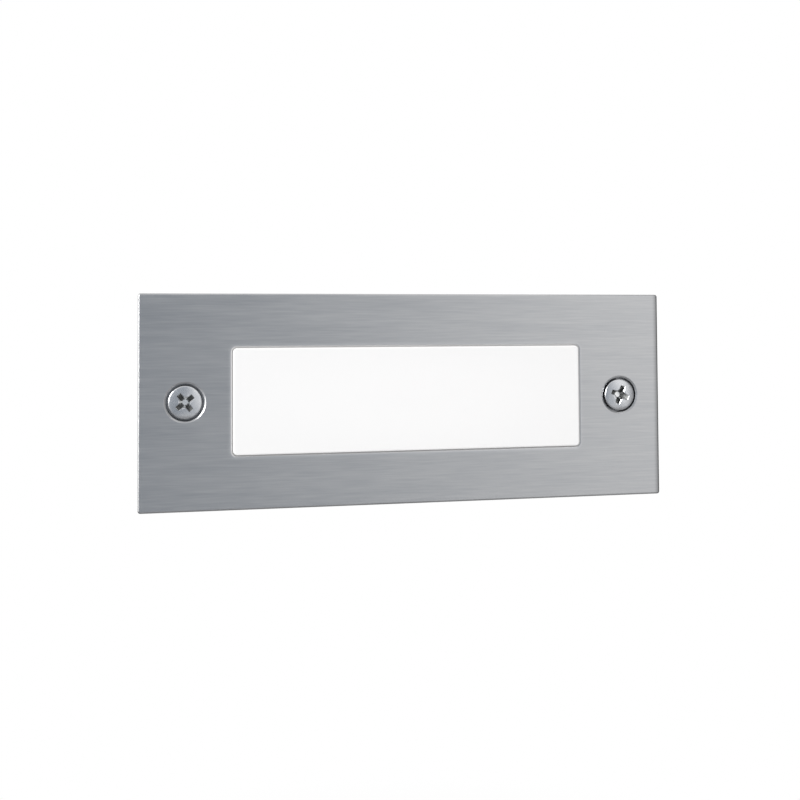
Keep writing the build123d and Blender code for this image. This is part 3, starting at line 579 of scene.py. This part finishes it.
def thread_of(x, start_y, tip_y):
    """A single-start thread along Y with a chamfered tip, as a closed shell."""
    crest, root = THREAD_CREST_RADIUS, THREAD_ROOT_RADIUS
    profile = [(crest, 0.0), (crest, THREAD_CREST_END), (root, THREAD_ROOT_START), (root, THREAD_ROOT_END),
               (crest, 1.0)]
    first_y = start_y - THREAD_LEAD_TURNS * THREAD_PITCH
    turns = math.ceil((tip_y - start_y) / THREAD_PITCH) + THREAD_SPARE_TURNS
    thread = bmesh.new()
    points = [thread.verts.new((x + r, first_y + share * THREAD_PITCH, 0)) for r, share in profile]
    edges = [thread.edges.new(pair) for pair in zip(points, points[1:])]
    bmesh.ops.spin(thread, geom=points + edges, cent=(x, 0, 0), axis=(0, 1, 0), angle=turns * math.tau,
                   steps=turns * THREAD_STEPS_A_TURN, dvec=(0, THREAD_PITCH / THREAD_STEPS_A_TURN, 0),
                   use_merge=False)
    bmesh.ops.remove_doubles(thread, verts=thread.verts, dist=THREAD_WELD)
    cut_across(thread, start_y, -1)
    cut_across(thread, tip_y, 1)
    for vert in thread.verts:
        offset = Vector((vert.co.x - x, 0, vert.co.z))
        limit = crest - max(0.0, vert.co.y - tip_y + THREAD_TIP_CHAMFER)
        if offset.length > limit:
            offset *= limit / offset.length
            vert.co = (x + offset.x, vert.co.y, offset.z)
    bmesh.ops.recalc_face_normals(thread, faces=thread.faces)
    return thread


def add_shell(shape, shell):
    """Adds a closed shell to a shape, and frees the shell."""
    made = bpy.data.meshes.new("shell")
    shell.to_mesh(made)
    shell.free()
    shape.from_mesh(made)
    bpy.data.meshes.remove(made)


def make_face_screw(side, x):
    """A face screw with its head from the model and a cut thread below it."""
    node = f"{side}_face_screw"
    tip_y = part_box(node)[1].y
    seat_y = tip_y - SCREW_LENGTH
    shape = head_of(node, seat_y + HEAD_STUB)
    add_shell(shape, thread_of(x, seat_y + THREAD_START, tip_y))
    screw = new_object(f"{side}_threaded_screw", shape, FINISHES["screw_steel"])
    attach(screw, f"{side}_screw")
    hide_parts(node)


# Studio

def shown_rays(tree):
    """One for the rays that show the background: seen directly, in gloss or through clear pieces."""
    path = add_node(tree, "ShaderNodeLightPath", {})
    direct = maths(tree, "MAXIMUM", path.outputs["Is Camera Ray"], path.outputs["Is Glossy Ray"])
    return maths(tree, "MAXIMUM", direct, path.outputs["Is Transmission Ray"])


def make_floor():
    """Pale floor that fades to white at its rim and keeps the shadow in the middle."""
    disc = bmesh.new()
    bmesh.ops.create_circle(disc, cap_ends=True, segments=FLOOR_SEGMENTS, radius=FLOOR_RADIUS)
    bmesh.ops.translate(disc, verts=disc.verts, vec=(0, 0, FLOOR_Z))
    material, tree, shader = new_material("pale_floor")
    feed(shader, {"Base Color": FLOOR_COLOUR, "Roughness": 0.9})
    flat = vector_maths(tree, "MULTIPLY", object_place(tree), (1.0, 1.0, 0.0))
    fade = ramp(tree, length_of(tree, flat), *FLOOR_FADE, interpolation_type="SMOOTHSTEP")
    white = add_node(tree, "ShaderNodeEmission", {"Color": WHITE})
    blend = add_node(tree, "ShaderNodeMixShader", {
        0: maths(tree, "MULTIPLY", fade, shown_rays(tree)),
        1: shader.outputs["BSDF"],
        2: white.outputs["Emission"],
    })
    feed(tree.nodes["Material Output"], {"Surface": blend.outputs["Shader"]})
    new_object("floor", disc, material)


def make_world():
    """White surroundings with a plain level of soft light."""
    world = bpy.data.worlds.new("white_studio")
    world.use_nodes = True
    tree = world.node_tree
    strength = mixed_value(tree, shown_rays(tree), AMBIENT, 1.0)
    feed(tree.nodes["Background"], {"Color": WHITE, "Strength": strength})
    bpy.context.scene.world = world


def add_board(name, place, reach, turn, material):
    """A square board that the camera doesn't see, turned about one axis and put in its place."""
    board = bmesh.new()
    bmesh.ops.create_grid(board, x_segments=1, y_segments=1, size=reach)
    angle, axis = turn
    bmesh.ops.rotate(board, verts=board.verts, cent=(0, 0, 0), matrix=Matrix.Rotation(angle, 3, axis))
    bmesh.ops.translate(board, verts=board.verts, vec=place)
    made = new_object(name, board, material)
    made.visible_camera = False
    return made


def make_graded_panel():
    """A tall panel behind the camera, dim on the left and white on the right, for the plate to mirror."""
    material, tree, glow = new_glow("graded_panel")
    x, _, z = place_parts(tree)
    fan = maths(tree, "MULTIPLY_ADD", z, PANEL_FAN, 1.0)
    shade = ramp(tree, maths(tree, "MULTIPLY", x, fan), *PANEL_RAMP)
    feed(glow, {"Color": mixed_colour(tree, shade, PANEL_DIM, PANEL_BRIGHT)})
    add_board("graded_panel", PANEL_PLACE, PANEL_REACH, (-math.pi / 2, "X"), material)


def add_gloss_board(name, place, turn, colour):
    """A large plain board beside the light that only its gloss shows."""
    material, _, glow = new_glow(name)
    feed(glow, {"Color": colour})
    board = add_board(name, place, BOARD_REACH, turn, material)
    board.visible_diffuse = False
    board.visible_shadow = False


def add_softbox(name, place, size, watts, mirrored):
    """A soft rectangular lamp that points at the light, and that gloss shows or leaves out."""
    lamp = bpy.data.lights.new(name, "AREA")
    lamp.shape = "RECTANGLE"
    lamp.size, lamp.size_y = size
    lamp.energy = watts
    holder = bpy.data.objects.new(name, lamp)
    holder.location = place
    holder.rotation_euler = (-Vector(place)).to_track_quat("-Z", "Y").to_euler()
    holder.visible_glossy = mirrored
    bpy.context.scene.collection.objects.link(holder)


def make_studio():
    """Floor, surroundings, lamps and boards."""
    make_floor()
    make_world()
    for name, softbox in SOFTBOXES.items():
        add_softbox(name, **softbox)
    make_graded_panel()
    for name, board in GLOSS_BOARDS.items():
        add_gloss_board(name, **board)


def make_camera():
    """Camera at the photograph's place."""
    lens = bpy.data.cameras.new("camera")
    lens.lens = CAMERA_LENS
    lens.sensor_width = SENSOR_WIDTH
    lens.shift_y = CAMERA_SHIFT
    lens.clip_start = CAMERA_CLIP_START
    camera = bpy.data.objects.new("camera", lens)
    turn = Matrix.Rotation(CAMERA_YAW, 4, "Z") @ Matrix.Rotation(CAMERA_PITCH, 4, "X")
    turn = turn @ Matrix.Rotation(CAMERA_ROLL, 4, "Y") @ Matrix.Rotation(math.pi / 2, 4, "X")
    camera.matrix_world = Matrix.Translation(CAMERA_PLACE) @ turn
    bpy.context.scene.collection.objects.link(camera)
    bpy.context.scene.camera = camera


finish_solids()
make_face_screw("left", -SCREW_X)
make_face_screw("right", SCREW_X)
make_studio()
make_camera()
bpy.context.scene.view_settings.view_transform = "Standard"
